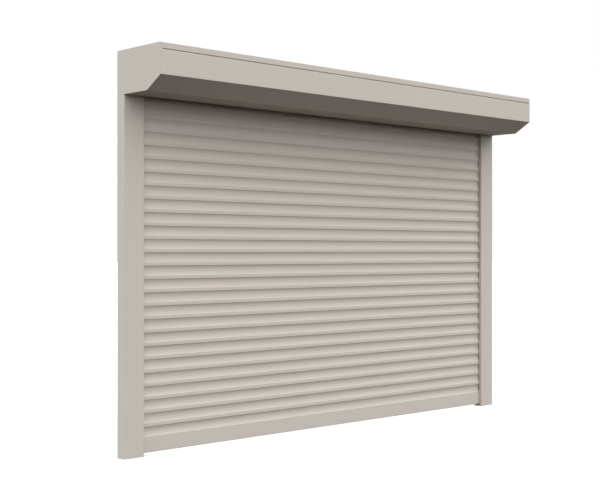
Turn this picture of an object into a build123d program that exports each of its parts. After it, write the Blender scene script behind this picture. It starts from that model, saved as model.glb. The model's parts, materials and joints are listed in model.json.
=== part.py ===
from build123d import *
import math
import os

os.makedirs("parts", exist_ok=True)

# Frame: X runs along the door, Y into the wall, Z up.
# The origin is the middle of the box's depth and width, at the level of the rail feet.

# Whole door
DOOR_WIDTH = 3370.0
DOOR_HEIGHT = 2300.0

# Box
BOX_DEPTH = 410.0
BOX_HEIGHT = 250.0
FRONT_FACE_HEIGHT = 174.0
CHAMFER_FOOT = 283.0  # distance from the wall to the foot of the chamfer
EDGE_RADIUS = 3.0
COVER_SHEET = 2.0
GROOVE_BELOW_TOP = 31.0
GROOVE_HEIGHT = 4.6
GROOVE_DEPTH = 8.0
TONGUE_HEIGHT = 18.0
HEM_HEIGHT = 12.0
JOIN_GAP = 0.3
OVERCUT = 1.0  # how far a cutting solid runs past the face it cuts

# End caps
CAP_FLANGE = 14.0
CAP_PLATE = 4.0
CAP_RIM = 3.0
CAP_LIP_LENGTH = 20.0
CAP_LIP = 2.5
CAP_BOSS_DIAMETER = 150.0
CAP_BOSS = 6.0
SPIGOT_LENGTH = 60.0
SPIGOT_WALL = 3.0
SPIGOT_PLAY = 1.0

# Guide rails
RAIL_WIDTH = 136.0
RAIL_DEPTH = 68.0
RAIL_WALL = 2.2
RAIL_CORNER = 2.0
SLOT_REAR = 22.0  # distance from the wall to the rear side of the slot
SLOT_WIDTH = 26.0
SLOT_LENGTH = 58.0
LIP_REACH = 24.0  # how far the front wall reaches past the slot's mouth
STRIP_THICKNESS = 2.0
STRIP_WIDTH = 30.0
STRIP_INSET = 1.5
STRIP_FOOT = 6.0
FIXING_COUNT = 4
FIXING_FIRST = 200.0  # from the foot to the lowest hole
FIXING_LAST = 170.0  # from the highest hole to the rail top
FIXING_HOLE = 7.0
PLUG_HOLE = 14.0
PLUG_LENGTH = 6.0
PLUG_PLAY = 0.1
FOOT_PLUG_HEIGHT = 10.0
FOOT_PLUG_PLAY = 0.3

# Inlet funnels
FUNNEL_HEIGHT = 40.0
FUNNEL_FLARE = 9.0
FUNNEL_END_WALL = 2.5

# Slats
SLAT_PITCH = 76.75
SLAT_FRONT = 45.2  # distance from the wall to the front of the necks
NECK_HEIGHT = 16.0
NECK_DEPTH = 12.0
FACE_HOLLOW = 8.0
SLAT_THICKNESS = 12.0
SLAT_WALL = 1.4
SLAT_GAP = 0.4
SLAT_END_PLAY = 12.0
BEAD_RADIUS = 3.3  # over the corners of its eight flats
BEAD_FLAT_COUNT = 8
BEAD_SLOT = 4.2
BEAD_STEM = 1.8
BEAD_PLAY = 0.3
LOCK_LENGTH = 6.0
LOCK_TONGUE = 18.0
LOCK_TONGUE_HEIGHT = 30.0
LOCK_PLAY = 0.3

# Bottom bar
BAR_BOTTOM = 18.0
BAR_HEIGHT = 72.0
BAR_DEPTH = 18.0
BAR_WALL = 1.8
BAR_WEB = 34.0
BAR_EDGE = 1.5
SEAL_SLOT = 4.0
SEAL_HEAD = 8.0
SEAL_HEAD_HEIGHT = 4.0
SEAL_DROP = 3.0
SEAL_WIDTH = 7.0
SEAL_PLAY = 0.3

# Winding drum
DRUM_ACROSS = 102.0
DRUM_WALL = 2.5
DRUM_AXIS_DEPTH = 140.0
DRUM_END_GAP_MOTOR = 39.0  # from the drum's end to the outside of the door
DRUM_END_GAP_IDLER = 45.0
DRUM_FIT = 0.3
STRAP_COUNT = 5
STRAP_SPACING = 650.0
STRAP_WIDTH = 30.0
STRAP_THICKNESS = 1.2
STRAP_TAB = 10.0
STRAP_TAB_FORWARD = 8.0
STRAP_SLOT_PLAY = 1.0
CLIP_LENGTH = 60.0
CLIP_TAB = 16.0
CLIP_TAB_THICKNESS = 2.0

# Tubular motor
MOTOR_DIAMETER = 59.0
MOTOR_LENGTH = 650.0
MOTOR_HEAD_DIAMETER = 84.0
MOTOR_HEAD_LENGTH = 20.0
MOTOR_BORE_PLAY = 0.5
MOTOR_NOSE_DEPTH = 13.0
SHAFT_ACROSS = 16.0
SHAFT_LENGTH = 40.0
DRIVE_WHEEL_WIDTH = 30.0
DRIVE_WHEEL_GAP = 7.0
DRIVE_WHEEL_HOLE = 18.0
DRIVE_WHEEL_HOLES = 4
LIMIT_RING_WIDTH = 14.0
LIMIT_RING_FLANGE = 4.0
LIMIT_RING_FLANGE_DIAMETER = 100.0
GLAND_DIAMETER = 12.0
GLAND_LENGTH = 10.0
GLAND_ROOT = 3.0

# Brackets and bearing
BRACKET_SIZE = 100.0
BRACKET_PLATE = 4.0
BRACKET_CORNER = 8.0
BRACKET_HOLE_OFFSET = 38.0
BRACKET_HOLE = 6.4
BRACKET_FLANGE = 12.0
BRACKET_FLANGE_THICKNESS = 3.0
SCREW_SHANK = 6.0
SCREW_HEAD = 11.0
SCREW_HEAD_HEIGHT = 4.0
SCREW_DEPTH = 7.0
SCREW_TIP_GAP = 1.0
BEARING_OUTER = 42.0
BEARING_BORE = 15.0
BEARING_WIDTH = 13.0
BEARING_RACE_OUTER = 35.0
BEARING_RACE_INNER = 22.0
BEARING_SHIELD = 1.2
BEARING_SHIELD_PLAY = 0.3
BEARING_FIT = 0.05
BEARING_CUP_WALL = 7.0
BEARING_CUP_FLOOR = 2.0
IDLER_PIN_LENGTH = 72.0
IDLER_CAP_LENGTH = 40.0
IDLER_CAP_FLANGE = 4.0
IDLER_CAP_WALL = 4.0
IDLER_HUB = 30.0

# Cover screws and cable grommet
COVER_SCREW_SHANK = 4.0
COVER_SCREW_HEAD = 8.0
COVER_SCREW_LENGTH = 9.0
COVER_SCREW_PLAY = 0.1
COVER_SCREW_EDGE = 44.0  # from the rail front and from the chamfer foot
GROMMET_DIAMETER = 22.0
GROMMET_HOLE = 16.0
GROMMET_BORE = 8.0
GROMMET_LENGTH = 8.0
GROMMET_FROM_END = 48.0
GROMMET_BELOW_TOP = 60.0

# Derived places
WALL_Y = BOX_DEPTH / 2
HALF_WIDTH = DOOR_WIDTH / 2
SOFFIT_Z = DOOR_HEIGHT - BOX_HEIGHT
CLEAR_HALF = HALF_WIDTH - RAIL_WIDTH
COVER_HALF = HALF_WIDTH - CAP_FLANGE
CAP_INNER = HALF_WIDTH - CAP_PLATE
BOSS_FACE = CAP_INNER - CAP_BOSS
SLOT_FRONT = SLOT_REAR + SLOT_WIDTH
GROOVE_TOP = DOOR_HEIGHT - GROOVE_BELOW_TOP
GROOVE_BOTTOM = GROOVE_TOP - GROOVE_HEIGHT
TONGUE_DEPTH = BOX_DEPTH - GROOVE_DEPTH
SLAT_HALF = CLEAR_HALF + SLOT_LENGTH - SLAT_END_PLAY
FIRST_SLAT_Z = BAR_BOTTOM + BAR_HEIGHT
FACE_TOP = SLAT_PITCH - SLAT_GAP
FACE_MIDDLE = (NECK_HEIGHT + FACE_TOP) / 2
FACE_HALF = (FACE_TOP - NECK_HEIGHT) / 2
FACE_RADIUS = (FACE_HALF**2 + FACE_HOLLOW**2) / (2 * FACE_HOLLOW)
BEAD_DEPTH = SLAT_FRONT - NECK_DEPTH / 2
BEAD_RISE = SLAT_WALL + BEAD_PLAY + math.sqrt(BEAD_RADIUS**2 - (BEAD_SLOT / 2) ** 2)
SLAT_COUNT = math.ceil((SOFFIT_Z - FIRST_SLAT_Z) / SLAT_PITCH)
CURTAIN_TOP = FIRST_SLAT_Z + SLAT_COUNT * SLAT_PITCH
DRUM_Z = SOFFIT_Z + BOX_HEIGHT / 2
DRUM_Y = WALL_Y - DRUM_AXIS_DEPTH
DRUM_RIGHT = HALF_WIDTH - DRUM_END_GAP_MOTOR
DRUM_LEFT = -(HALF_WIDTH - DRUM_END_GAP_IDLER)
DRUM_TOP = DRUM_Z + DRUM_ACROSS / 2
DRUM_BORE = DRUM_ACROSS - 2 * DRUM_WALL
BRACKET_FACE = BOSS_FACE - BRACKET_PLATE
MOTOR_OUTER_END = BRACKET_FACE - MOTOR_HEAD_LENGTH
MOTOR_INNER_END = MOTOR_OUTER_END - MOTOR_LENGTH


def section_along_x(sketch, x_from, x_to):
    """Extrude a section drawn as (distance from the wall, height) between two places along the door."""
    plane = Plane(origin=(x_from, WALL_Y, 0), x_dir=(0, -1, 0), z_dir=(-1, 0, 0))
    return extrude(plane * sketch, amount=x_from - x_to)


def polygon(points):
    return make_face(Polyline(*points, close=True))


def block(x_range, depth_range, z_range):
    """A box between two values of x, two distances from the wall and two heights."""
    size = [abs(b - a) for a, b in (x_range, depth_range, z_range)]
    centre = (sum(x_range) / 2, WALL_Y - sum(depth_range) / 2, sum(z_range) / 2)
    return Pos(*centre) * Box(*size)


def rod_x(radius, x_from, x_to, y, z):
    return Pos((x_from + x_to) / 2, y, z) * Rot(0, 90, 0) * Cylinder(radius, abs(x_to - x_from))


def octagon_x(across, x_from, x_to):
    """An octagonal bar on the drum's axis with a flat at the top."""
    sketch = Pos(DRUM_AXIS_DEPTH, DRUM_Z) * RegularPolygon(across / 2, 8, major_radius=False, rotation=22.5)
    return section_along_x(sketch, x_from, x_to)


def to_left(shape):
    return mirror(shape, about=Plane.YZ)


def save(shape, name):
    export_step(shape, f"parts/{name}.step")


def group(shapes):
    return Compound(children=[solid for shape in shapes for solid in shape.solids()])


# Slats
def slat_arc(radius, z_from, z_to):
    """An arc behind the hollow face, about the face's own centre in front of the door."""
    centre = SLAT_FRONT - FACE_HOLLOW + FACE_RADIUS
    full = FACE_RADIUS + radius

    def depth(z):
        return centre - math.sqrt(full**2 - (z - FACE_MIDDLE) ** 2)

    return ThreePointArc((depth(z_from), z_from), (centre - full, FACE_MIDDLE), (depth(z_to), z_to))


def closed_face(*curves):
    outline = Curve() + list(curves)
    return make_face(outline)


def neck_channel(z_bottom):
    """The neck: a box channel whose slot at the bottom holds the bead of the piece below."""
    outer = Pos(BEAD_DEPTH, z_bottom + NECK_HEIGHT / 2) * Rectangle(NECK_DEPTH, NECK_HEIGHT)
    inner_size = (NECK_DEPTH - 2 * SLAT_WALL, NECK_HEIGHT - 2 * SLAT_WALL)
    inner = Pos(BEAD_DEPTH, z_bottom + NECK_HEIGHT / 2) * Rectangle(*inner_size)
    slot = Pos(BEAD_DEPTH, z_bottom + SLAT_WALL / 2) * Rectangle(BEAD_SLOT, 2 * SLAT_WALL)
    return outer - inner - slot


def bead(z_joint):
    """The bead and stem on top of a slat, which hang in the neck above the joint."""
    stem_foot = z_joint - SLAT_GAP - SLAT_WALL / 2
    stem_top = z_joint + BEAD_RISE
    stem = Pos(BEAD_DEPTH, (stem_foot + stem_top) / 2) * Rectangle(BEAD_STEM, stem_top - stem_foot)
    return stem + Pos(BEAD_DEPTH, stem_top) * RegularPolygon(BEAD_RADIUS, BEAD_FLAT_COUNT)


def slat_band(wall, z_top):
    """The curved hollow body of a slat, drawn in from its front and back by a wall."""
    front = slat_arc(wall, NECK_HEIGHT, z_top)
    back = slat_arc(SLAT_THICKNESS - wall, z_top, NECK_HEIGHT)
    return closed_face(front, Line(front @ 1, back @ 0), back, Line(back @ 1, front @ 0))


def make_slats():
    body = slat_band(0, FACE_TOP) - slat_band(SLAT_WALL, FACE_TOP - SLAT_WALL)
    section = body + neck_channel(0) + bead(SLAT_PITCH)
    slat = section_along_x(section, -SLAT_HALF, SLAT_HALF)
    for index in range(SLAT_COUNT):
        placed = Pos(0, 0, FIRST_SLAT_Z + index * SLAT_PITCH) * slat
        save(placed, f"slat_{index + 1:02d}")


def make_slat_end_locks():
    """Plastic locks: a plate over the end of the slat and a tongue in its hollow."""
    z_low = NECK_HEIGHT + LOCK_PLAY
    z_high = FACE_TOP - LOCK_PLAY
    deep = SLAT_FRONT - SLAT_THICKNESS - FACE_HOLLOW
    lean = FACE_HOLLOW
    plate = polygon(
        [
            (SLAT_FRONT - LOCK_PLAY, z_low),
            (SLAT_FRONT - lean, FACE_MIDDLE),
            (SLAT_FRONT - LOCK_PLAY, z_high),
            (deep + lean - LOCK_PLAY, z_high),
            (deep + LOCK_PLAY, FACE_MIDDLE),
            (deep + lean - LOCK_PLAY, z_low),
        ]
    )
    tongue_half = min(LOCK_TONGUE_HEIGHT / 2, FACE_HALF - SLAT_WALL)
    tongue_front = SLAT_FRONT - lean - SLAT_WALL - LOCK_PLAY
    rise = tongue_half**2 / (2 * FACE_RADIUS)
    tongue_back = deep + SLAT_WALL + LOCK_PLAY + rise
    tongue = polygon(
        [
            (tongue_front, FACE_MIDDLE - tongue_half),
            (tongue_front, FACE_MIDDLE + tongue_half),
            (tongue_back, FACE_MIDDLE + tongue_half),
            (tongue_back, FACE_MIDDLE - tongue_half),
        ]
    )
    lock = section_along_x(plate, SLAT_HALF, SLAT_HALF + LOCK_LENGTH)
    lock += section_along_x(tongue, SLAT_HALF - LOCK_TONGUE, SLAT_HALF)
    locks = []
    for index in range(SLAT_COUNT):
        placed = Pos(0, 0, FIRST_SLAT_Z + index * SLAT_PITCH) * lock
        locks += [placed, to_left(placed)]
    save(group(locks), "slat_end_locks")


# Bottom bar
def seal_section(play):
    centre = SLAT_FRONT - BAR_DEPTH / 2
    head_z = BAR_BOTTOM + BAR_WALL
    head_size = (SEAL_HEAD - 2 * play, SEAL_HEAD_HEIGHT - 2 * play)
    neck_size = (SEAL_SLOT - 2 * play, BAR_WALL + 4 * SEAL_PLAY)
    head = Pos(centre, head_z + SEAL_HEAD_HEIGHT / 2) * Rectangle(*head_size)
    neck = Pos(centre, BAR_BOTTOM + BAR_WALL / 2) * Rectangle(*neck_size)
    return head + neck


def make_bottom_bar():
    back = SLAT_FRONT - BAR_DEPTH
    top = BAR_BOTTOM + BAR_HEIGHT - SLAT_GAP
    centre = SLAT_FRONT - BAR_DEPTH / 2
    outer = Pos(centre, (BAR_BOTTOM + top) / 2) * Rectangle(BAR_DEPTH, top - BAR_BOTTOM)
    outer = fillet(outer.vertices().sort_by(Axis.Y)[:2], BAR_EDGE)
    web_z = BAR_BOTTOM + BAR_WEB
    seal_box_top = BAR_BOTTOM + 2 * BAR_WALL + SEAL_HEAD_HEIGHT
    inner_depth = BAR_DEPTH - 2 * BAR_WALL
    low_height = web_z - seal_box_top
    high_height = top - BAR_WALL - (web_z + BAR_WALL)
    low = Pos(centre, seal_box_top + low_height / 2) * Rectangle(inner_depth, low_height)
    high = Pos(centre, web_z + BAR_WALL + high_height / 2) * Rectangle(inner_depth, high_height)
    section = outer - low - high - seal_section(0)
    section += bead(BAR_BOTTOM + BAR_HEIGHT)
    save(section_along_x(section, -SLAT_HALF, SLAT_HALF), "bottom_bar")

    # Rubber seal: a head in the bar's groove and a lip below it
    lip_top = BAR_BOTTOM
    lip = polygon(
        [
            (centre - SEAL_WIDTH / 2, lip_top),
            (centre + SEAL_WIDTH / 2, lip_top),
            (centre + SEAL_WIDTH / 4, lip_top - SEAL_DROP),
            (centre - SEAL_WIDTH / 4, lip_top - SEAL_DROP),
        ]
    )
    save(section_along_x(seal_section(SEAL_PLAY) + lip, -SLAT_HALF, SLAT_HALF), "bottom_bar_seal")

    # End caps: a plate over the end and a tongue in the lower and upper hollow
    plate = polygon(
        [
            (SLAT_FRONT - LOCK_PLAY, BAR_BOTTOM + LOCK_PLAY),
            (SLAT_FRONT - LOCK_PLAY, top - LOCK_PLAY),
            (back + LOCK_PLAY, top - LOCK_PLAY),
            (back + LOCK_PLAY, BAR_BOTTOM + LOCK_PLAY),
        ]
    )
    cap = section_along_x(plate, SLAT_HALF, SLAT_HALF + LOCK_LENGTH)
    low_hollow = (seal_box_top + low_height / 2, low_height)
    high_hollow = (web_z + BAR_WALL + high_height / 2, high_height)
    for z_centre, height in (low_hollow, high_hollow):
        tongue = Pos(centre, z_centre) * Rectangle(inner_depth - 2 * LOCK_PLAY, height - 2 * LOCK_PLAY)
        cap += section_along_x(tongue, SLAT_HALF - LOCK_TONGUE, SLAT_HALF)
    save(group([cap, to_left(cap)]), "bottom_bar_end_caps")


# Guide rails
def rail_region(u_range, depth_range):
    """A rectangle in plan, from the rail's inner side outwards and from the wall forwards."""
    width = u_range[1] - u_range[0]
    depth = depth_range[1] - depth_range[0]
    x = CLEAR_HALF + sum(u_range) / 2
    return Pos(x, WALL_Y - sum(depth_range) / 2) * Rectangle(width, depth)


CHAMBER_U = (SLOT_LENGTH + RAIL_WALL, RAIL_WIDTH - RAIL_WALL)
CHAMBER_DEPTH = (RAIL_WALL, RAIL_DEPTH - RAIL_WALL)
FIXING_X = CLEAR_HALF + sum(CHAMBER_U) / 2
FIXING_SPACING = (SOFFIT_Z - FIXING_LAST - FIXING_FIRST) / (FIXING_COUNT - 1)
FIXING_HEIGHTS = [FIXING_FIRST + i * FIXING_SPACING for i in range(FIXING_COUNT)]


def make_guide_rails():
    outer = rail_region((0, RAIL_WIDTH), (0, RAIL_DEPTH))
    outer = fillet(outer.vertices(), RAIL_CORNER)
    slot = rail_region((-RAIL_WALL, SLOT_LENGTH), (SLOT_REAR, SLOT_FRONT))
    behind_lip = rail_region((-RAIL_WALL, LIP_REACH), (SLOT_REAR, RAIL_DEPTH - RAIL_WALL))
    front_hollow = rail_region(
        (LIP_REACH + RAIL_WALL, SLOT_LENGTH), (SLOT_FRONT + RAIL_WALL, RAIL_DEPTH - RAIL_WALL)
    )
    rear_hollow = rail_region((RAIL_WALL, SLOT_LENGTH), (RAIL_WALL, SLOT_REAR - RAIL_WALL))
    chamber = rail_region(CHAMBER_U, CHAMBER_DEPTH)
    section = outer - slot - behind_lip - front_hollow - rear_hollow - chamber
    rail = extrude(section, amount=SOFFIT_Z)
    plugs = []
    for z in FIXING_HEIGHTS:
        front_y = WALL_Y - RAIL_DEPTH
        rail -= Pos(FIXING_X, front_y, z) * Rot(90, 0, 0) * Cylinder(PLUG_HOLE / 2, 4 * RAIL_WALL)
        rail -= Pos(FIXING_X, WALL_Y, z) * Rot(90, 0, 0) * Cylinder(FIXING_HOLE / 2, 4 * RAIL_WALL)
        plug = Pos(FIXING_X, front_y + PLUG_LENGTH / 2, z) * Rot(90, 0, 0) * Cylinder(
            PLUG_HOLE / 2 - PLUG_PLAY, PLUG_LENGTH
        )
        plugs += [plug, to_left(plug)]
    save(rail, "guide_rail_right")
    save(to_left(rail), "guide_rail_left")
    save(group(plugs), "rail_hole_plugs")


def make_rail_strips():
    """Plastic glide strips on both sides of each slot."""
    strips = []
    near = LIP_REACH + STRIP_INSET
    for depth in (SLOT_REAR, SLOT_FRONT - STRIP_THICKNESS):
        region = rail_region((near, near + STRIP_WIDTH), (depth, depth + STRIP_THICKNESS))
        strips.append(Pos(0, 0, STRIP_FOOT) * extrude(region, amount=SOFFIT_Z - 2 * STRIP_FOOT))
    save(group(strips), "glide_strips_right")
    save(group([to_left(strip) for strip in strips]), "glide_strips_left")


def make_rail_foot_plugs():
    u_range = (CHAMBER_U[0] + FOOT_PLUG_PLAY, CHAMBER_U[1] - FOOT_PLUG_PLAY)
    depth_range = (CHAMBER_DEPTH[0] + FOOT_PLUG_PLAY, CHAMBER_DEPTH[1] - FOOT_PLUG_PLAY)
    outer = rail_region(u_range, depth_range)
    hollow_u = (u_range[0] + RAIL_WALL, u_range[1] - RAIL_WALL)
    hollow_depth = (depth_range[0] + RAIL_WALL, depth_range[1] - RAIL_WALL)
    hollow = rail_region(hollow_u, hollow_depth)
    plug = extrude(outer, amount=FOOT_PLUG_HEIGHT)
    plug -= Pos(0, 0, RAIL_WALL) * extrude(hollow, amount=FOOT_PLUG_HEIGHT)
    save(group([plug, to_left(plug)]), "rail_foot_plugs")


def make_inlet_funnels():
    """Plastic funnels on the rail tops that lead the slats into the slots."""
    depth_range = (COVER_SHEET + JOIN_GAP, RAIL_DEPTH - COVER_SHEET)
    region = rail_region((JOIN_GAP, SLOT_LENGTH + RAIL_WALL - JOIN_GAP), depth_range)
    funnel = Pos(0, 0, SOFFIT_Z) * extrude(region, amount=FUNNEL_HEIGHT)
    mouth = polygon(
        [
            (SLOT_REAR, SOFFIT_Z - OVERCUT),
            (SLOT_FRONT, SOFFIT_Z - OVERCUT),
            (SLOT_FRONT + FUNNEL_FLARE, SOFFIT_Z + FUNNEL_HEIGHT + OVERCUT),
            (SLOT_REAR - FUNNEL_FLARE, SOFFIT_Z + FUNNEL_HEIGHT + OVERCUT),
        ]
    )
    funnel -= section_along_x(mouth, CLEAR_HALF - OVERCUT, CLEAR_HALF + SLOT_LENGTH - FUNNEL_END_WALL)
    save(group([funnel, to_left(funnel)]), "inlet_funnels")


# Box
def box_outline(inset):
    """The box's outline from the side, drawn inwards by an even inset."""
    slope = math.atan2(BOX_HEIGHT - FRONT_FACE_HEIGHT, BOX_DEPTH - CHAMFER_FOOT)
    low = SOFFIT_Z + inset
    front = BOX_DEPTH - inset
    foot = CHAMFER_FOOT - inset * math.tan(slope / 2)
    shoulder = DOOR_HEIGHT - FRONT_FACE_HEIGHT + inset * math.tan((math.pi / 2 - slope) / 2)
    corners = [
        (inset, low),
        (inset, DOOR_HEIGHT - inset),
        (front, DOOR_HEIGHT - inset),
        (front, shoulder),
        (foot, low),
    ]
    return corners


def box_face(inset):
    """The box's outline as a face, with round edges where it is less than the edge radius inside."""
    face = polygon(box_outline(inset))
    if inset < EDGE_RADIUS:
        return fillet(face.vertices(), EDGE_RADIUS - inset)
    return face


def bracket_hole_places():
    offset = BRACKET_HOLE_OFFSET
    return [(DRUM_Y + a, DRUM_Z + b) for a in (-offset, offset) for b in (-offset, offset)]


def make_end_caps():
    lip_inset = COVER_SHEET + JOIN_GAP
    lip_end = COVER_HALF - CAP_LIP_LENGTH
    cap = section_along_x(box_face(0), CAP_INNER, HALF_WIDTH)
    cap += section_along_x(box_face(0) - box_face(CAP_RIM), COVER_HALF, CAP_INNER)
    lip = section_along_x(box_face(lip_inset) - box_face(lip_inset + CAP_LIP), lip_end, CAP_INNER)
    notch_z = (GROOVE_BOTTOM - COVER_SHEET - JOIN_GAP, GROOVE_BOTTOM + TONGUE_HEIGHT + JOIN_GAP)
    notch_x = (lip_end - OVERCUT, COVER_HALF)
    lip -= block(notch_x, (TONGUE_DEPTH - COVER_SHEET - JOIN_GAP, BOX_DEPTH), notch_z)
    hem_depth = (RAIL_DEPTH - JOIN_GAP, RAIL_DEPTH + COVER_SHEET + JOIN_GAP)
    lip -= block(notch_x, hem_depth, (SOFFIT_Z, SOFFIT_Z + HEM_HEIGHT + JOIN_GAP))
    cap += lip

    # Boss that carries the bracket
    cap += rod_x(CAP_BOSS_DIAMETER / 2, BOSS_FACE, CAP_INNER, DRUM_Y, DRUM_Z)
    for y, z in bracket_hole_places():
        cap -= rod_x(BRACKET_HOLE / 2, BOSS_FACE - OVERCUT, BOSS_FACE + SCREW_DEPTH, y, z)

    # Foot on the rail top and hollow spigot in the rail's chamber
    foot_x = (CLEAR_HALF + CHAMBER_U[0], CAP_INNER)
    foot_depth = (lip_inset, RAIL_DEPTH - COVER_SHEET)
    cap += block(foot_x, foot_depth, (SOFFIT_Z, SOFFIT_Z + lip_inset + CAP_LIP))
    spigot_x = (CLEAR_HALF + CHAMBER_U[0] + SPIGOT_PLAY, CLEAR_HALF + CHAMBER_U[1] - SPIGOT_PLAY)
    spigot_depth = (CHAMBER_DEPTH[0] + SPIGOT_PLAY, CHAMBER_DEPTH[1] - SPIGOT_PLAY)
    wall = SPIGOT_WALL
    cap += block(spigot_x, spigot_depth, (SOFFIT_Z - SPIGOT_LENGTH, SOFFIT_Z + CAP_RIM))
    hollow_x = (spigot_x[0] + wall, spigot_x[1] - wall)
    hollow_depth = (spigot_depth[0] + wall, spigot_depth[1] - wall)
    cap -= block(hollow_x, hollow_depth, (SOFFIT_Z - SPIGOT_LENGTH - wall, SOFFIT_Z))
    for x, depth in cover_screw_places():
        cap -= cover_screw_hole(x, depth, True)
        cap -= cover_screw_hole(x, depth, False)
    save(cap, "end_cap_right")
    save(to_left(cap), "end_cap_left")


def cover_screw_places():
    x = COVER_HALF - CAP_LIP_LENGTH / 2
    return [(x, RAIL_DEPTH + COVER_SCREW_EDGE), (x, CHAMFER_FOOT - COVER_SCREW_EDGE)]


def on_cover(turned, x, depth, on_top):
    """Seat a shape, drawn with its head up, in the top or, turned over, in the soffit."""
    if on_top:
        return Pos(x, WALL_Y - depth, DOOR_HEIGHT) * turned
    return Pos(x, WALL_Y - depth, SOFFIT_Z) * Rot(180, 0, 0) * turned


def cover_screw(x, depth, on_top):
    """A countersunk screw, flush with the outside of the sheet."""
    profile = polygon(
        [
            (0, 0),
            (COVER_SCREW_HEAD / 2, 0),
            (COVER_SCREW_SHANK / 2, -COVER_SHEET),
            (COVER_SCREW_SHANK / 2, -COVER_SCREW_LENGTH),
            (0, -COVER_SCREW_LENGTH),
        ]
    )
    return on_cover(revolve(Plane.XZ * profile, Axis.Z), x, depth, on_top)


def cover_screw_hole(x, depth, on_top):
    hole = Cylinder(COVER_SCREW_SHANK / 2 + COVER_SCREW_PLAY, 4 * COVER_SCREW_LENGTH)
    return on_cover(hole, x, depth, on_top)


def countersink(x, depth, on_top):
    play = COVER_SCREW_PLAY
    profile = polygon(
        [
            (0, play),
            (COVER_SCREW_HEAD / 2 + 2 * play, play),
            (COVER_SCREW_SHANK / 2 + 2 * play, -COVER_SHEET - play),
            (0, -COVER_SHEET - play),
        ]
    )
    return on_cover(revolve(Plane.XZ * profile, Axis.Z), x, depth, on_top)


def bent_sheet(points, inside):
    """A folded sheet: its outer face through the points and its thickness towards the inside."""
    outer = FilletPolyline(*points, radius=EDGE_RADIUS)
    band = offset(outer, amount=COVER_SHEET, side=inside, kind=Kind.INTERSECTION)
    return make_face(band.edges())


def make_covers():
    corners = box_outline(0)
    rear_bottom, rear_top, front_top, shoulder, foot = corners
    top_points = [
        rear_bottom,
        rear_top,
        front_top,
        (BOX_DEPTH, GROOVE_TOP),
        (TONGUE_DEPTH + JOIN_GAP, GROOVE_TOP),
    ]
    front_points = [
        (TONGUE_DEPTH, GROOVE_BOTTOM + TONGUE_HEIGHT),
        (TONGUE_DEPTH, GROOVE_BOTTOM),
        (BOX_DEPTH, GROOVE_BOTTOM),
        shoulder,
        foot,
        (RAIL_DEPTH, SOFFIT_Z),
        (RAIL_DEPTH, SOFFIT_Z + HEM_HEIGHT),
    ]
    top_cover = section_along_x(bent_sheet(top_points, Side.LEFT), -COVER_HALF, COVER_HALF)
    front_cover = section_along_x(bent_sheet(front_points, Side.RIGHT), -COVER_HALF, COVER_HALF)
    screws = []
    for x, depth in cover_screw_places():
        for side in (1, -1):
            top_cover -= countersink(side * x, depth, True)
            front_cover -= countersink(side * x, depth, False)
            screws += [cover_screw(side * x, depth, True), cover_screw(side * x, depth, False)]
    grommet_x = HALF_WIDTH - GROMMET_FROM_END
    grommet_z = DOOR_HEIGHT - GROMMET_BELOW_TOP
    grommet_hole = Cylinder(GROMMET_HOLE / 2, 4 * COVER_SHEET)
    top_cover -= Pos(grommet_x, WALL_Y, grommet_z) * Rot(90, 0, 0) * grommet_hole
    save(top_cover, "top_cover")
    save(front_cover, "front_cover")
    save(group(screws), "cover_screws")

    # Rubber grommet: a neck in the sheet's hole and a flange inside the box
    neck_radius = GROMMET_HOLE / 2 - COVER_SCREW_PLAY
    profile = polygon(
        [
            (GROMMET_BORE / 2, 0),
            (neck_radius, 0),
            (neck_radius, COVER_SHEET),
            (GROMMET_DIAMETER / 2, COVER_SHEET),
            (GROMMET_DIAMETER / 2, GROMMET_LENGTH),
            (GROMMET_BORE / 2, GROMMET_LENGTH),
        ]
    )
    ring = revolve(Plane.XZ * profile, Axis.Z)
    save(Pos(grommet_x, WALL_Y, grommet_z) * Rot(90, 0, 0) * ring, "cable_grommet")


# Drum and what hangs from it
def strap_places():
    middle = (STRAP_COUNT - 1) / 2
    return [(i - middle) * STRAP_SPACING for i in range(STRAP_COUNT)]


def make_drum_tube():
    tube = octagon_x(DRUM_ACROSS, DRUM_LEFT, DRUM_RIGHT)
    tube -= octagon_x(DRUM_BORE, DRUM_LEFT - OVERCUT, DRUM_RIGHT + OVERCUT)
    slot_depth = (
        DRUM_AXIS_DEPTH + STRAP_TAB_FORWARD - STRAP_THICKNESS / 2 - STRAP_SLOT_PLAY,
        DRUM_AXIS_DEPTH + STRAP_TAB_FORWARD + STRAP_THICKNESS / 2 + STRAP_SLOT_PLAY,
    )
    for x in strap_places():
        half = STRAP_WIDTH / 2 + STRAP_SLOT_PLAY
        tube -= block((x - half, x + half), slot_depth, (DRUM_TOP - 2 * DRUM_WALL, DRUM_TOP + OVERCUT))
    save(tube, "drum_tube")


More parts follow.
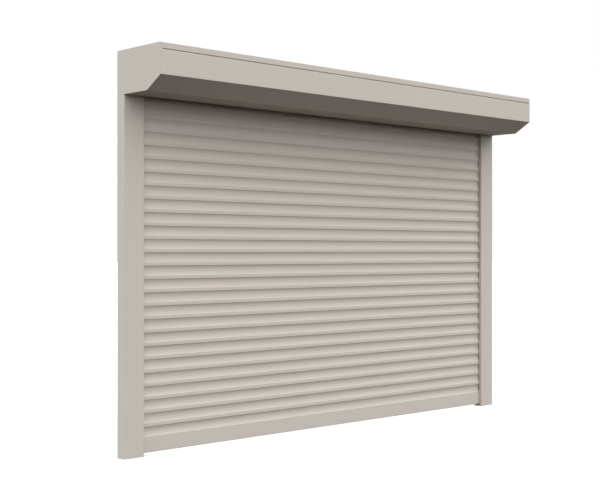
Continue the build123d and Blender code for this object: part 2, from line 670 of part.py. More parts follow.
def make_straps():
    """Spring-steel straps: a tab in the drum's slot, a bow over the rear edge and a straight run down."""
    flat_half = DRUM_ACROSS / 2 * math.tan(math.pi / 8)
    bow_start = DRUM_AXIS_DEPTH - flat_half
    tab = DRUM_AXIS_DEPTH + STRAP_TAB_FORWARD
    half = STRAP_THICKNESS / 2
    low = DRUM_TOP
    high = DRUM_TOP + STRAP_THICKNESS
    bow = bow_start - BEAD_DEPTH
    centre = (bow_start, DRUM_TOP + half - bow)
    clip_top = CURTAIN_TOP + NECK_HEIGHT

    def bow_arc(radius, upwards):
        start = (centre[0] - radius, centre[1])
        middle = (centre[0] - radius * math.cos(math.pi / 4), centre[1] + radius * math.sin(math.pi / 4))
        end = (centre[0], centre[1] + radius)
        return ThreePointArc(start, middle, end) if upwards else ThreePointArc(end, middle, start)

    outer = bow_arc(bow + half, True)
    inner = bow_arc(bow - half, False)
    foot_outer = (BEAD_DEPTH - half, clip_top + STRAP_THICKNESS)
    foot_inner = (BEAD_DEPTH + half, clip_top + STRAP_THICKNESS)
    section = closed_face(
        Line(foot_outer, outer @ 0),
        outer,
        Line(outer @ 1, (tab + half, high)),
        Line((tab + half, high), (tab + half, low - STRAP_TAB)),
        Line((tab + half, low - STRAP_TAB), (tab - half, low - STRAP_TAB)),
        Line((tab - half, low - STRAP_TAB), (tab - half, low)),
        Line((tab - half, low), inner @ 0),
        inner,
        Line(inner @ 1, foot_inner),
        Line(foot_inner, foot_outer),
    )
    clip_section = neck_channel(CURTAIN_TOP)
    tab_depth = BEAD_DEPTH - half - CLIP_TAB_THICKNESS / 2
    tab_centre = clip_top + (CLIP_TAB - SLAT_WALL) / 2
    clip_section += Pos(tab_depth, tab_centre) * Rectangle(CLIP_TAB_THICKNESS, CLIP_TAB + SLAT_WALL)
    straps = []
    clips = []
    for x in strap_places():
        straps.append(section_along_x(section, x - STRAP_WIDTH / 2, x + STRAP_WIDTH / 2))
        clips.append(section_along_x(clip_section, x - CLIP_LENGTH / 2, x + CLIP_LENGTH / 2))
    save(group(straps), "hanging_straps")
    save(group(clips), "strap_clips")


# Motor at the right end
def rounded_plate(size, corner, x_from, x_to):
    sketch = Pos(DRUM_AXIS_DEPTH, DRUM_Z) * RectangleRounded(size, size, corner)
    return section_along_x(sketch, x_from, x_to)


def make_motor():
    body = rod_x(MOTOR_DIAMETER / 2, MOTOR_INNER_END, MOTOR_OUTER_END, DRUM_Y, DRUM_Z)
    nose_bore = SHAFT_ACROSS / math.sqrt(2) + MOTOR_BORE_PLAY
    body -= rod_x(nose_bore, MOTOR_INNER_END, MOTOR_INNER_END + MOTOR_NOSE_DEPTH, DRUM_Y, DRUM_Z)
    save(body, "motor_body")

    head = rod_x(MOTOR_HEAD_DIAMETER / 2, MOTOR_OUTER_END, BRACKET_FACE, DRUM_Y, DRUM_Z)
    gland_z = DRUM_Z - MOTOR_HEAD_DIAMETER / 2 + (GLAND_ROOT - GLAND_LENGTH) / 2
    gland = Cylinder(GLAND_DIAMETER / 2, GLAND_LENGTH + GLAND_ROOT)
    head += Pos((MOTOR_OUTER_END + BRACKET_FACE) / 2, DRUM_Y, gland_z) * gland
    save(head, "motor_head")

    bracket = rounded_plate(BRACKET_SIZE, BRACKET_CORNER, BRACKET_FACE, BOSS_FACE)
    side = MOTOR_HEAD_DIAMETER / 2 + JOIN_GAP
    for sign in (-1, 1):
        near = DRUM_AXIS_DEPTH + sign * side
        far = near + sign * BRACKET_FLANGE_THICKNESS
        half = BRACKET_SIZE / 2 - BRACKET_CORNER - SCREW_HEAD
        flange_x = (BRACKET_FACE - BRACKET_FLANGE, BRACKET_FACE)
        bracket += block(flange_x, sorted((near, far)), (DRUM_Z - half, DRUM_Z + half))
    for y, z in bracket_hole_places():
        bracket -= rod_x(BRACKET_HOLE / 2, BRACKET_FACE - OVERCUT, BOSS_FACE + OVERCUT, y, z)
    save(bracket, "motor_bracket")

    shaft_start = MOTOR_INNER_END + MOTOR_NOSE_DEPTH - JOIN_GAP
    shaft_end = MOTOR_INNER_END - SHAFT_LENGTH
    shaft_size = (shaft_start - shaft_end, SHAFT_ACROSS, SHAFT_ACROSS)
    save(Pos((shaft_start + shaft_end) / 2, DRUM_Y, DRUM_Z) * Box(*shaft_size), "motor_shaft")

    wheel_right = MOTOR_INNER_END - DRIVE_WHEEL_GAP
    wheel_left = wheel_right - DRIVE_WHEEL_WIDTH
    wheel = octagon_x(DRUM_BORE - 2 * DRUM_FIT, wheel_left, wheel_right)
    bore = SHAFT_ACROSS + 2 * DRUM_FIT
    wheel -= Pos((wheel_left + wheel_right) / 2, DRUM_Y, DRUM_Z) * Box(2 * DRIVE_WHEEL_WIDTH, bore, bore)
    ring_radius = (DRUM_BORE + SHAFT_ACROSS) / 4
    for index in range(DRIVE_WHEEL_HOLES):
        angle = 2 * math.pi * (index + 0.5) / DRIVE_WHEEL_HOLES
        y = DRUM_Y + ring_radius * math.cos(angle)
        z = DRUM_Z + ring_radius * math.sin(angle)
        wheel -= rod_x(DRIVE_WHEEL_HOLE / 2, wheel_left - OVERCUT, wheel_right + OVERCUT, y, z)
    save(wheel, "drive_wheel")

    ring = octagon_x(DRUM_BORE - 2 * DRUM_FIT, DRUM_RIGHT - LIMIT_RING_WIDTH, DRUM_RIGHT)
    ring += rod_x(LIMIT_RING_FLANGE_DIAMETER / 2, DRUM_RIGHT, DRUM_RIGHT + LIMIT_RING_FLANGE, DRUM_Y, DRUM_Z)
    ring_bore = MOTOR_DIAMETER / 2 + MOTOR_BORE_PLAY
    ring -= rod_x(ring_bore, DRUM_RIGHT - 2 * LIMIT_RING_WIDTH, MOTOR_OUTER_END, DRUM_Y, DRUM_Z)
    save(ring, "limit_ring")


# Bearing at the left end
def make_bearing_end():
    cup_open = -(BRACKET_FACE - BEARING_WIDTH - BEARING_CUP_FLOOR)
    seat = -(BRACKET_FACE - BEARING_CUP_FLOOR)
    bracket = to_left(rounded_plate(BRACKET_SIZE, BRACKET_CORNER, BRACKET_FACE, BOSS_FACE))
    bracket += rod_x(BEARING_OUTER / 2 + BEARING_CUP_WALL, cup_open, -BRACKET_FACE, DRUM_Y, DRUM_Z)
    bracket -= rod_x(BEARING_OUTER / 2, seat, cup_open + OVERCUT, DRUM_Y, DRUM_Z)
    bracket -= rod_x(BEARING_RACE_INNER / 2, -BOSS_FACE - OVERCUT, seat + OVERCUT, DRUM_Y, DRUM_Z)
    for y, z in bracket_hole_places():
        bracket -= rod_x(BRACKET_HOLE / 2, -BRACKET_FACE + OVERCUT, -BOSS_FACE - OVERCUT, y, z)
    save(bracket, "bearing_bracket")

    def ring(outer, inner, start, width):
        bar = rod_x(outer, start, start + width, DRUM_Y, DRUM_Z)
        return bar - rod_x(inner, start - OVERCUT, start + width + OVERCUT, DRUM_Y, DRUM_Z)

    race_outer = BEARING_RACE_OUTER / 2
    race_inner = BEARING_RACE_INNER / 2
    save(ring(BEARING_OUTER / 2 - BEARING_FIT, race_outer, seat, BEARING_WIDTH), "bearing_outer_ring")
    save(ring(race_inner, BEARING_BORE / 2, seat, BEARING_WIDTH), "bearing_inner_ring")
    shields = [
        ring(race_outer - BEARING_FIT, race_inner + BEARING_SHIELD_PLAY, start, BEARING_SHIELD)
        for start in (seat, seat + BEARING_WIDTH - BEARING_SHIELD)
    ]
    save(group(shields), "bearing_shields")

    pin_start = seat + JOIN_GAP
    pin = rod_x(BEARING_BORE / 2 - BEARING_FIT, pin_start, pin_start + IDLER_PIN_LENGTH, DRUM_Y, DRUM_Z)
    save(pin, "idler_pin")

    cap_end = DRUM_LEFT + IDLER_CAP_LENGTH
    cap = octagon_x(DRUM_BORE - 2 * DRUM_FIT, DRUM_LEFT, cap_end)
    cap += octagon_x(DRUM_ACROSS - 2 * DRUM_FIT, DRUM_LEFT - IDLER_CAP_FLANGE, DRUM_LEFT)
    cap -= octagon_x(DRUM_BORE - 2 * DRUM_FIT - 2 * IDLER_CAP_WALL, DRUM_LEFT, cap_end + OVERCUT)
    cap += rod_x(IDLER_HUB / 2, DRUM_LEFT - IDLER_CAP_FLANGE, cap_end, DRUM_Y, DRUM_Z)
    bore_start = DRUM_LEFT - IDLER_CAP_FLANGE - OVERCUT
    cap -= rod_x(BEARING_BORE / 2, bore_start, cap_end + OVERCUT, DRUM_Y, DRUM_Z)
    save(cap, "idler_cap")


def make_bracket_screws():
    screws = []
    for y, z in bracket_hole_places():
        hexagon = Pos(WALL_Y - y, z) * RegularPolygon(SCREW_HEAD / 2, 6)
        head = section_along_x(hexagon, BRACKET_FACE - SCREW_HEAD_HEIGHT, BRACKET_FACE)
        tip = BOSS_FACE + SCREW_DEPTH - SCREW_TIP_GAP
        screw = head + rod_x(SCREW_SHANK / 2, BRACKET_FACE, tip, y, z)
        screws += [screw, to_left(screw)]
    save(group(screws), "bracket_screws")


make_slats()
make_slat_end_locks()
make_bottom_bar()
make_guide_rails()
make_rail_strips()
make_rail_foot_plugs()
make_inlet_funnels()
make_end_caps()
make_covers()
make_drum_tube()
make_straps()
make_motor()
make_bearing_end()
make_bracket_screws()
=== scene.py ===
"""Surface-mounted roller shutter door: the finish of every surface and the fine forms of its sheets."""

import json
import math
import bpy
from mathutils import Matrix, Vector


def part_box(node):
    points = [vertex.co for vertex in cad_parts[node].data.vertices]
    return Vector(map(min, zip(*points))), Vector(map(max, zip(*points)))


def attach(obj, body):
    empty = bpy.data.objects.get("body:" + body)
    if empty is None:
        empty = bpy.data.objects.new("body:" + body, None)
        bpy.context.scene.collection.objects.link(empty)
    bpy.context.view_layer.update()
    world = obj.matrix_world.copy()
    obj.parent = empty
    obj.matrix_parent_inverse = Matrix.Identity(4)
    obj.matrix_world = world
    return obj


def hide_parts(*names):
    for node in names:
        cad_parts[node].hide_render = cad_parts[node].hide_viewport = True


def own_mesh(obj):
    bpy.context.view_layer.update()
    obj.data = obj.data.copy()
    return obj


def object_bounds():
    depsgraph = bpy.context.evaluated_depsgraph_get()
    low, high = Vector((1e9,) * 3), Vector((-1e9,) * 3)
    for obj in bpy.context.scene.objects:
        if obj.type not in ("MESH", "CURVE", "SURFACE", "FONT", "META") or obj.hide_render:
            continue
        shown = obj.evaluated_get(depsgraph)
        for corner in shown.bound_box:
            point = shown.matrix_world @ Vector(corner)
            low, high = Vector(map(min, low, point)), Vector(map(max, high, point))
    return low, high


bl_info = {
    "name": "Roller Shutter Door",
    "version": (1, 0, 0),
    "blender": (4, 5, 0),
    "location": "View3D > Sidebar > Shutter",
    "description": "Folds the slats and covers of a roller shutter door and paints its pieces",
    "category": "Object",
}

import bpy
from mathutils import Vector

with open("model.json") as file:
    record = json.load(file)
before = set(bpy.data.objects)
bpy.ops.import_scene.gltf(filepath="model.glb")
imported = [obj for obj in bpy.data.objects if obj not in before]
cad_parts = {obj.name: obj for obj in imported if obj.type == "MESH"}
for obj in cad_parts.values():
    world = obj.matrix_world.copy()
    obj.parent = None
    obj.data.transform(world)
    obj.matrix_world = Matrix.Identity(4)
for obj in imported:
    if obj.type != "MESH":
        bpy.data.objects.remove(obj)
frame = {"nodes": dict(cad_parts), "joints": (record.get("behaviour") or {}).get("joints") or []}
cad_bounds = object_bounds()

SAME_PLACE = 1e-5  # metres between points that count as one
BEND_STEPS = 6  # flats in a bend of a quarter turn
BOW_STEPS = 14  # flats in the bow of a strap
BEAD_SIDES = 20  # flats round a bead
HOLE_SIDES = 32  # flats round a drilled hole
DRILL_LENGTH = 0.012  # metres, half of it on each side of the sheet's face
SHARP_ANGLE = math.radians(40)  # edges above it get a bevel
SMOOTH_ANGLE = math.radians(35)  # edges below it are shaded smooth
EDGE = 0.0003  # bevel in metres on the edges of covers, rails and straps
BAR_EDGE = 0.0002
SLAT_EDGE = 0.00015
SLATS = sorted(n for n in frame["nodes"] if n.startswith("slat_") and n[-2:].isdigit())


# Sizes and colours that a user would change
class ShutterSlatSizes(bpy.types.PropertyGroup):
    neck_height: bpy.props.FloatProperty(
        name="Neck height", description="Height of the flat neck", default=0.016, unit="LENGTH"
    )
    neck_depth: bpy.props.FloatProperty(
        name="Neck depth", description="Depth of the neck's channel", default=0.012, unit="LENGTH"
    )
    top_gap: bpy.props.FloatProperty(
        name="Gap", description="Gap between a slat and the neck above it",
        default=0.0002, unit="LENGTH",
    )
    hollow: bpy.props.FloatProperty(
        name="Hollow", description="How far the face is hollowed to the wall",
        default=0.0073, unit="LENGTH",
    )
    thickness: bpy.props.FloatProperty(
        name="Thickness", description="Thickness of the curved body", default=0.012, unit="LENGTH"
    )
    wall: bpy.props.FloatProperty(
        name="Wall", description="Wall of the slat's skin", default=0.0014, unit="LENGTH"
    )
    slot: bpy.props.FloatProperty(
        name="Slot", description="Slot in the neck for the bead below",
        default=0.0042, unit="LENGTH",
    )
    bead: bpy.props.FloatProperty(
        name="Bead radius", description="Radius of the bead that hangs in the neck",
        default=0.0033, unit="LENGTH",
    )
    stem: bpy.props.FloatProperty(
        name="Stem", description="Thickness of the stem under the bead",
        default=0.0018, unit="LENGTH",
    )
    arc_steps: bpy.props.IntProperty(
        name="Arc steps", description="Flats along the curved face", default=18, min=4
    )


class ShutterBoxSizes(bpy.types.PropertyGroup):
    sheet: bpy.props.FloatProperty(
        name="Sheet", description="Thickness of the box's covers", default=0.002, unit="LENGTH"
    )
    bend: bpy.props.FloatProperty(
        name="Bend", description="Outer radius of the covers' bends", default=0.003, unit="LENGTH"
    )
    front_height: bpy.props.FloatProperty(
        name="Front height", description="Height of the upright front face",
        default=0.174, unit="LENGTH",
    )
    chamfer_foot: bpy.props.FloatProperty(
        name="Chamfer foot", description="From the wall to the foot of the slope",
        default=0.283, unit="LENGTH",
    )
    groove_below_top: bpy.props.FloatProperty(
        name="Groove place", description="From the top down to the long groove",
        default=0.0345, unit="LENGTH",
    )
    groove_height: bpy.props.FloatProperty(
        name="Groove height", description="Height of the long groove", default=0.0044, unit="LENGTH"
    )
    groove_depth: bpy.props.FloatProperty(
        name="Groove depth", description="Depth of the long groove", default=0.006, unit="LENGTH"
    )
    tongue: bpy.props.FloatProperty(
        name="Tongue", description="Height of the tongue behind the groove",
        default=0.018, unit="LENGTH",
    )
    hem: bpy.props.FloatProperty(
        name="Hem", description="Height of the hem at the curtain", default=0.012, unit="LENGTH"
    )
    rail_depth: bpy.props.FloatProperty(
        name="Hem place", description="From the wall to the hem", default=0.068, unit="LENGTH"
    )
    join_gap: bpy.props.FloatProperty(
        name="Joint gap", description="Gap between the two covers", default=0.0003, unit="LENGTH"
    )


class ShutterRailSizes(bpy.types.PropertyGroup):
    width: bpy.props.FloatProperty(
        name="Width", description="Width of a rail's front", default=0.136, unit="LENGTH"
    )
    wall: bpy.props.FloatProperty(
        name="Wall", description="Wall of the drawn section", default=0.0022, unit="LENGTH"
    )
    corner: bpy.props.FloatProperty(
        name="Front corners", description="Radius of the front corners",
        default=0.0025, unit="LENGTH",
    )
    slot_rear: bpy.props.FloatProperty(
        name="Slot place", description="From the wall to the slot", default=0.022, unit="LENGTH"
    )
    slot_width: bpy.props.FloatProperty(
        name="Slot width", description="Width of the slot that the curtain runs in",
        default=0.026, unit="LENGTH",
    )
    slot_length: bpy.props.FloatProperty(
        name="Slot length", description="Depth of the slot into the rail",
        default=0.058, unit="LENGTH",
    )
    plug_hole: bpy.props.FloatProperty(
        name="Plug hole", description="Hole in the front for the screwdriver",
        default=0.014, unit="LENGTH",
    )
    plug_play: bpy.props.FloatProperty(
        name="Plug play", description="Play round a plug", default=0.0001, unit="LENGTH"
    )
    fixing_hole: bpy.props.FloatProperty(
        name="Fixing hole", description="Hole in the back for a wall screw",
        default=0.007, unit="LENGTH",
    )
    fixings: bpy.props.IntProperty(name="Fixings", description="Wall screws in a rail", default=4, min=2)


class ShutterBarSizes(bpy.types.PropertyGroup):
    wall: bpy.props.FloatProperty(
        name="Wall", description="Wall of the bottom bar", default=0.0018, unit="LENGTH"
    )
    edge: bpy.props.FloatProperty(
        name="Edge", description="Radius of the bottom bar's lower edges",
        default=0.002, unit="LENGTH",
    )
    slot: bpy.props.FloatProperty(
        name="Seal slot", description="Slot that the rubber seal hangs in",
        default=0.004, unit="LENGTH",
    )
    web: bpy.props.FloatProperty(
        name="Web", description="Height of the web inside the bar", default=0.034, unit="LENGTH"
    )


class ShutterStrapSizes(bpy.types.PropertyGroup):
    count: bpy.props.IntProperty(name="Straps", description="Number of hanging straps", default=5, min=2)
    width: bpy.props.FloatProperty(
        name="Width", description="Width of a strap", default=0.03, unit="LENGTH"
    )
    thickness: bpy.props.FloatProperty(
        name="Thickness", description="Thickness of the spring steel", default=0.0012, unit="LENGTH"
    )
    tab: bpy.props.FloatProperty(
        name="Tab", description="Depth of the tab in the drum's slot", default=0.0112, unit="LENGTH"
    )
    top_run: bpy.props.FloatProperty(
        name="Top run", description="From the tab to the start of the bow",
        default=0.02972, unit="LENGTH",
    )
    bow: bpy.props.FloatProperty(
        name="Bow", description="Outer radius of the bow over the drum",
        default=0.0803, unit="LENGTH",
    )


class ShutterColours(bpy.types.PropertyGroup):
    paint: bpy.props.FloatVectorProperty(
        name="Paint", description="Satin paint of the whole door", subtype="COLOR",
        default=(0.50, 0.460, 0.420),
    )
    zinc: bpy.props.FloatVectorProperty(
        name="Zinc", description="Zinc-plated steel", subtype="COLOR", default=(0.55, 0.56, 0.57)
    )
    ground: bpy.props.FloatVectorProperty(
        name="Ground steel", description="Rings of the bearing", subtype="COLOR",
        default=(0.62, 0.63, 0.64),
    )
    spring: bpy.props.FloatVectorProperty(
        name="Spring steel", description="Blued spring steel", subtype="COLOR",
        default=(0.13, 0.14, 0.17),
    )
    motor: bpy.props.FloatVectorProperty(
        name="Motor tube", description="Dark paint of the motor tube", subtype="COLOR",
        default=(0.055, 0.06, 0.065),
    )
    grey_plastic: bpy.props.FloatVectorProperty(
        name="Grey plastic", description="Moulded locks and caps", subtype="COLOR",
        default=(0.30, 0.285, 0.265),
    )
    black_plastic: bpy.props.FloatVectorProperty(
        name="Black plastic", description="Funnels and caps", subtype="COLOR",
        default=(0.022, 0.022, 0.024),
    )
    # The glide strips' brown is painted shade: it stands in for the brown of light bounced many times
    # between the painted walls inside the slot
    shade_brown_plastic: bpy.props.FloatVectorProperty(
        name="Brown plastic", description="Glide strips in the slots", subtype="COLOR",
        default=(0.20, 0.15, 0.11),
    )
    rubber: bpy.props.FloatVectorProperty(
        name="Rubber", description="Seal and grommet", subtype="COLOR",
        default=(0.018, 0.018, 0.019),
    )


class ShutterStage(bpy.types.PropertyGroup):
    lens: bpy.props.FloatProperty(
        name="Lens", description="Focal length in millimetres", default=68.43, min=1.0
    )
    camera_place: bpy.props.FloatVectorProperty(
        name="Camera", description="Where the camera stands", subtype="TRANSLATION",
        default=(-5.3516, -5.1917, 1.1698),
    )
    camera_heading: bpy.props.FloatProperty(
        name="Heading", description="Turn from facing the wall to the right", subtype="ANGLE",
        default=math.radians(43.293),
    )
    camera_tilt: bpy.props.FloatProperty(
        name="Tilt", description="Upward tilt of the camera", subtype="ANGLE",
        default=math.radians(0.055),
    )
    sky_level: bpy.props.FloatProperty(
        name="Sky", description="Strength of the light from the sky", default=4.2, min=0.0
    )
    floor_size: bpy.props.FloatProperty(
        name="Floor", description="Width of the floor", default=200.0, unit="LENGTH"
    )


# Shader maths
class Value:
    """An output socket that adds and multiplies like a number."""

    def __init__(self, paint, socket):
        self.paint = paint
        self.socket = socket

    def maths(self, operation, other):
        return self.paint.node("ShaderNodeMath", {"operation": operation}, {0: self, 1: other})

    def __add__(self, other):
        return self.maths("ADD", other)

    __radd__ = __add__

    def __mul__(self, other):
        return self.maths("MULTIPLY", other)

    __rmul__ = __mul__


class Paint:
    """The nodes of one material or of the world."""

    def __init__(self, owner):
        owner.use_nodes = True
        self.tree = owner.node_tree
        self.tree.nodes.clear()

    def node(self, kind, settings=None, values=None, output=0):
        """Add a node: its settings first, then the values or links of its sockets."""
        made = self.tree.nodes.new(kind)
        for name, setting in (settings or {}).items():
            if name == "stops":
                self.set_stops(made.color_ramp, setting)
            else:
                setattr(made, name, setting)
        for name, value in (values or {}).items():
            if isinstance(value, Value):
                self.tree.links.new(value.socket, made.inputs[name])
            else:
                made.inputs[name].default_value = value
        return Value(self, made.outputs[output])

    def set_stops(self, ramp, stops):
        while len(ramp.elements) < len(stops):
            ramp.elements.new(1.0)
        for element, (place, colour) in zip(ramp.elements, stops):
            element.position = place
            element.color = colour if len(colour) == 4 else (*colour, 1.0)

    def here(self):
        """The place on the object, in metres."""
        return self.node("ShaderNodeTexCoord", output="Object")

    def stretched(self, scale):
        """The place on the object, drawn out along its axes."""
        mapped = {"Vector": self.here(), "Scale": scale}
        return self.node("ShaderNodeMapping", {"vector_type": "POINT"}, mapped)

    def noise(self, place, scale, detail=2.0, roughness=0.5):
        values = {"Vector": place, "Scale": scale, "Detail": detail, "Roughness": roughness}
        return self.node("ShaderNodeTexNoise", {"noise_dimensions": "3D"}, values, "Fac")

    def ramp(self, factor, stops):
        return self.node("ShaderNodeValToRGB", {"stops": stops}, {"Fac": factor}, "Color")

    def between(self, value, low, high, to_low=0.0, to_high=1.0):
        """Map a range of a value onto another range, held at both ends."""
        values = {"Value": value, "From Min": low, "From Max": high, "To Min": to_low, "To Max": to_high}
        return self.node("ShaderNodeMapRange", {"clamp": True}, values)

    def mixed(self, factor, first, second):
        """A colour between two colours."""
        settings = {"data_type": "RGBA", "blend_type": "MIX"}
        first, second = (c if isinstance(c, Value) else (*c, 1.0) for c in (first, second))
        return self.node("ShaderNodeMix", settings, {0: factor, 6: first, 7: second}, 2)

    def bump(self, height, depth, strength=1.0, under=None):
        values = {"Height": height, "Distance": depth, "Strength": strength}
        if under is not None:
            values["Normal"] = under
        return self.node("ShaderNodeBump", None, values, "Normal")

    def surface(self, colour, rough, normal, metallic=0.0, gloss=0.5):
        """End the material in a Principled BSDF."""
        sockets = {"Base Color": colour, "Roughness": rough, "Normal": normal}
        sockets |= {"Metallic": metallic, "Specular IOR Level": gloss}
        self.node_out(self.node("ShaderNodeBsdfPrincipled", None, sockets, "BSDF"))

    def node_out(self, shader):
        out = self.tree.nodes.new("ShaderNodeOutputMaterial")
        self.tree.links.new(shader.socket, out.inputs["Surface"])


def darker(colour, share):
    return tuple(c * share for c in colour)


# Materials
# Scale of the faint lines along a painted piece, in its three axes
PAINT_LINES = {"case_paint": (0.6, 14.0, 14.0), "slat_paint": (0.7, 90.0, 260.0)}


def satin_paint(name, colour):
    """Satin polyester paint: an even colour with faint clouds, fine orange peel and thin dust."""
    material = bpy.data.materials.new(name)
    paint = Paint(material)
    clouds = paint.noise(paint.here(), 2.6, detail=3.0)
    along = paint.noise(paint.stretched(PAINT_LINES[name]), 1.0, detail=2.0)
    tone = paint.between(clouds, 0.3, 0.7, -0.010, 0.010) + paint.between(along, 0.3, 0.7, -0.008, 0.008)
    lighter = tuple(min(1.0, c * 1.015) for c in colour)
    base = paint.mixed(tone * 20.0 + 0.5, darker(colour, 0.985), lighter)
    peel = paint.noise(paint.here(), 420.0, detail=2.0, roughness=0.6)
    grain = paint.noise(paint.here(), 2600.0, detail=1.0)
    normal = paint.bump(peel, 0.00006, 0.35)
    normal = paint.bump(grain, 0.00002, 0.25, under=normal)
    rough = 0.62 + tone * 2.0 + paint.between(grain, 0.3, 0.7, -0.03, 0.03)
    paint.surface(base, rough, normal, gloss=0.01)
    return material


def plated_steel(name, colour, rough, stretch):
    """Plated or ground steel: fine draw lines and a faint cloudy bloom."""
    material = bpy.data.materials.new(name)
    paint = Paint(material)
    lines = paint.noise(paint.stretched(stretch), 1.0, detail=3.0)
    bloom = paint.noise(paint.here(), 35.0, detail=3.0)
    base = paint.mixed(paint.between(bloom, 0.35, 0.65), darker(colour, 0.82), colour)
    roughness = paint.between(lines, 0.3, 0.7, rough - 0.06, rough + 0.08)
    normal = paint.bump(lines, 0.00003, 0.4)
    paint.surface(base, roughness, normal, metallic=1.0)
    return material


def paint_of(context, name):
    """The door's paint for this kind of piece, made when it is first asked for."""
    return bpy.data.materials.get(name) or satin_paint(name, tuple(context.scene.shutter_colours.paint))


def blued_steel(colour):
    return plated_steel("blued_steel", colour, 0.34, (300.0, 8.0, 8.0))


def moulded_plastic(name, colour, rough):
    """Moulded plastic with a fine eroded grain and faint flow clouds."""
    material = bpy.data.materials.new(name)
    paint = Paint(material)
    clouds = paint.noise(paint.here(), 60.0, detail=2.0)
    grain = paint.noise(paint.here(), 3200.0, detail=2.0)
    base = paint.mixed(paint.between(clouds, 0.3, 0.7), darker(colour, 0.9), darker(colour, 1.08))
    roughness = paint.between(grain, 0.3, 0.7, rough - 0.05, rough + 0.08)
    paint.surface(base, roughness, paint.bump(grain, 0.00003, 0.4))
    return material


def soft_rubber(name, colour):
    """Matt rubber with a bloom of fine dust."""
    material = bpy.data.materials.new(name)
    paint = Paint(material)
    dust = paint.noise(paint.here(), 140.0, detail=4.0, roughness=0.65)
    grain = paint.noise(paint.here(), 2200.0, detail=2.0)
    base = paint.mixed(paint.between(dust, 0.5, 0.8), colour, tuple(c * 2.2 + 0.02 for c in colour))
    rough = paint.between(dust, 0.4, 0.8, 0.72, 0.9)
    paint.surface(base, rough, paint.bump(grain, 0.00004, 0.5))
    return material


# Folding of sheets along the door
def drop_selection():
    if bpy.context.mode != "OBJECT":
        bpy.ops.object.mode_set(mode="OBJECT")
    bpy.ops.object.select_all(action="DESELECT")


def only(piece):
    """Select one object and make it the active one."""
    drop_selection()
    piece.select_set(True)
    bpy.context.view_layer.objects.active = piece


def select_edge(piece, place):
    """Select the edge of a strip that lies at this (y, z)."""
    mesh = piece.data
    for vertex in mesh.vertices:
        vertex.select = (Vector(vertex.co.yz) - Vector(place)).length < SAME_PLACE
    for edge in mesh.edges:
        edge.select = all(mesh.vertices[i].select for i in edge.vertices)
    for face in mesh.polygons:
        face.select = False


def straight(place):
    """A straight run to this (y, z)."""
    return {"to": Vector(place)}


def bend(centre, degrees, steps):
    """An arc about this (y, z), turned right-handed about +X."""
    return {"centre": Vector(centre), "angle": math.radians(degrees), "steps": steps}


def first_strip(name, x_range, start, end):
    """The first flat strip of a folded sheet, between two (y, z) points."""
    run = Vector(end) - Vector(start)
    middle = (Vector(start) + Vector(end)) / 2
    drop_selection()
    bpy.ops.mesh.primitive_plane_add(
        size=1, location=(sum(x_range) / 2, *middle), rotation=(math.atan2(run.y, run.x), 0, 0)
    )
    strip = bpy.context.active_object
    strip.name = name
    strip.data.name = name
    strip.scale = (x_range[1] - x_range[0], run.length, 1)
    bpy.ops.object.transform_apply(location=True, rotation=True, scale=True)
    return strip


def fold(name, x_range, start, runs, wall, outside_left=True):
    """Fold a sheet along the door through straight runs and bends, with its wall on the inside.

    The outside is on the left of the way, seen from the door's right end, or else on the right."""
    first, *rest = runs
    strip = first_strip(name, x_range, start, first["to"])
    outside = strip.data.polygons[0].normal * (1 if outside_left else -1)
    select_edge(strip, first["to"])
    place = first["to"]
    bpy.ops.object.mode_set(mode="EDIT")
    bpy.ops.mesh.select_mode(type="EDGE")
    for run in rest:
        if "to" in run:
            step = run["to"] - place
            bpy.ops.mesh.extrude_region_move(TRANSFORM_OT_translate={"value": (0, *step)})
            place = run["to"]
        else:
            arm = place - run["centre"]
            turned = Vector((
                arm.x * math.cos(run["angle"]) - arm.y * math.sin(run["angle"]),
                arm.x * math.sin(run["angle"]) + arm.y * math.cos(run["angle"]),
            ))
            bpy.ops.mesh.spin(
                steps=run["steps"], angle=-run["angle"], center=(0, *run["centre"]), axis=(1, 0, 0)
            )
            place = run["centre"] + turned
    bpy.ops.mesh.select_all(action="SELECT")
    bpy.ops.mesh.remove_doubles(threshold=SAME_PLACE)
    bpy.ops.mesh.normals_make_consistent(inside=False)
    bpy.ops.object.mode_set(mode="OBJECT")
    if strip.data.polygons[0].normal.dot(outside) < 0:
        strip.data.flip_normals()
    thicken(strip, wall)
    return strip


def fold_through(name, x_range, corners, wall, outside_left=False):
    """Fold a sheet through corners, each a (y, z) with its own outer radius, which is 0 at a sharp one."""
    points = [Vector(corner[:2]) for corner in corners]
    runs = []
    for index in range(1, len(points) - 1):
        before, corner, after = points[index - 1:index + 2]
        radius = corners[index][2]
        if not radius:
            runs.append(straight(corner))
            continue
        arrive = (corner - before).normalized()
        leave = (after - corner).normalized()
        turn = math.atan2(arrive.x * leave.y - arrive.y * leave.x, arrive.dot(leave))
        start = corner - arrive * radius * math.tan(abs(turn) / 2)
        side = Vector((-arrive.y, arrive.x)) * math.copysign(radius, turn)
        steps = max(2, round(BEND_STEPS * abs(turn) / (math.pi / 2)))
        runs += [straight(start), bend(start + side, math.degrees(turn), steps)]
    runs.append(straight(points[-1]))
    return fold(name, x_range, points[0], runs, wall, outside_left)


def apply_modifier(piece, kind, **settings):
    only(piece)
    bpy.ops.object.modifier_add(type=kind)
    modifier = piece.modifiers[-1]
    for name, value in settings.items():
        setattr(modifier, name, value)
    bpy.ops.object.modifier_apply(modifier=modifier.name)


def thicken(piece, wall):
    apply_modifier(piece, "SOLIDIFY", thickness=wall, offset=-1.0, use_even_offset=True)


def round_edges(piece, width):
    apply_modifier(
        piece, "BEVEL", width=width, segments=2, limit_method="ANGLE", angle_limit=SHARP_ANGLE
    )


def smooth(piece):
    """Shade the bends smooth and keep the flats between them flat."""
    only(piece)
    bpy.ops.object.shade_smooth_by_angle(angle=SMOOTH_ANGLE)
    apply_modifier(piece, "WEIGHTED_NORMAL", mode="FACE_AREA", weight=100, keep_sharp=True)


